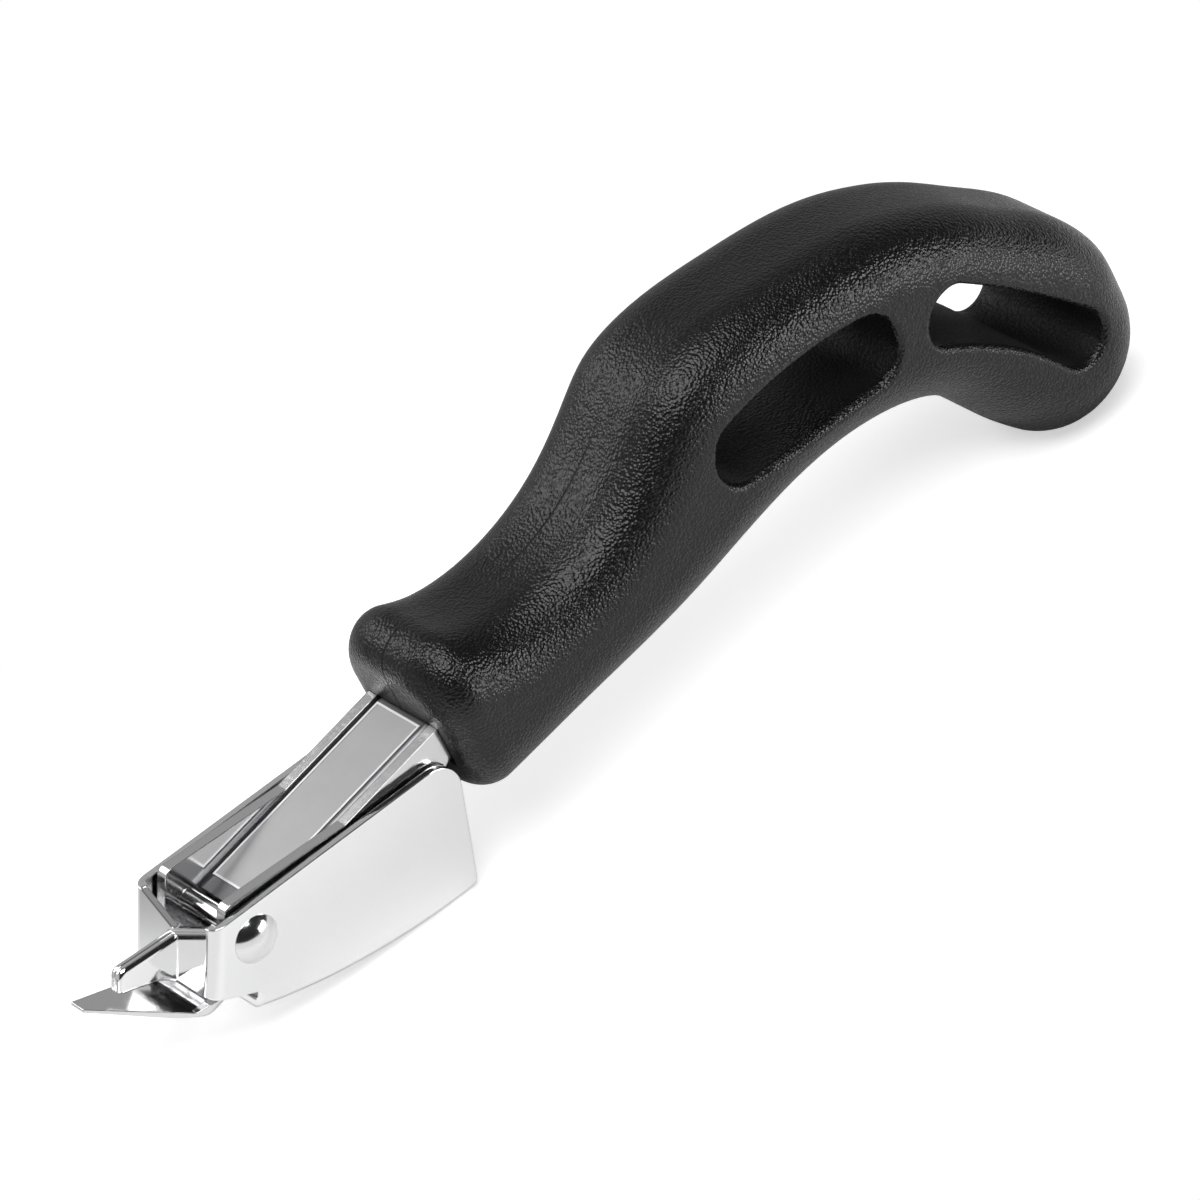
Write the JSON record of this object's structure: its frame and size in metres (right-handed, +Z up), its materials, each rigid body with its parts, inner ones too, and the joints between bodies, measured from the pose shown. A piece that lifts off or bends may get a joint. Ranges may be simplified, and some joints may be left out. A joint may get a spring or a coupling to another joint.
{
  "type": "staple remover",
  "caption": "Lever staple remover: black plastic grip with two slots, folded steel shank ending in a thin blade, and a riveted rocker jaw that clamps a staple",
  "frame": {"origin": "centre of the bounding box in X and Y, on the floor the tool stands on", "axes": "+Z up; +X along the tool from the blade tip towards the end of the grip; Y across, the rivet runs along it"},
  "size_m": [0.2004, 0.028, 0.0575],
  "materials": {
    "grip": "black, fine leather grain",
    "plated_steel": "bright nickel-chrome plate",
    "rivet": "bright plate",
    "bright_steel": "satin",
    "label": "satin silver, blank"
  },
  "bodies": {
    "grip_and_blade": {"handle_left": "grip", "handle_right": "grip", "shank_channel": "plated_steel", "shank_liner": "bright_steel", "name_plate": "label"},
    "rocker": {"rocker_jaw": "plated_steel", "pivot_rivet": "rivet"}
  },
  "joints": [
    {"name": "jaw_pivot", "type": "hinge", "parent": "grip_and_blade", "child": "rocker", "pos_m": [-0.07476, 0, 0.01814], "axis": [0, 1, 0], "range_deg": [-4.5, 20]}
  ]
}
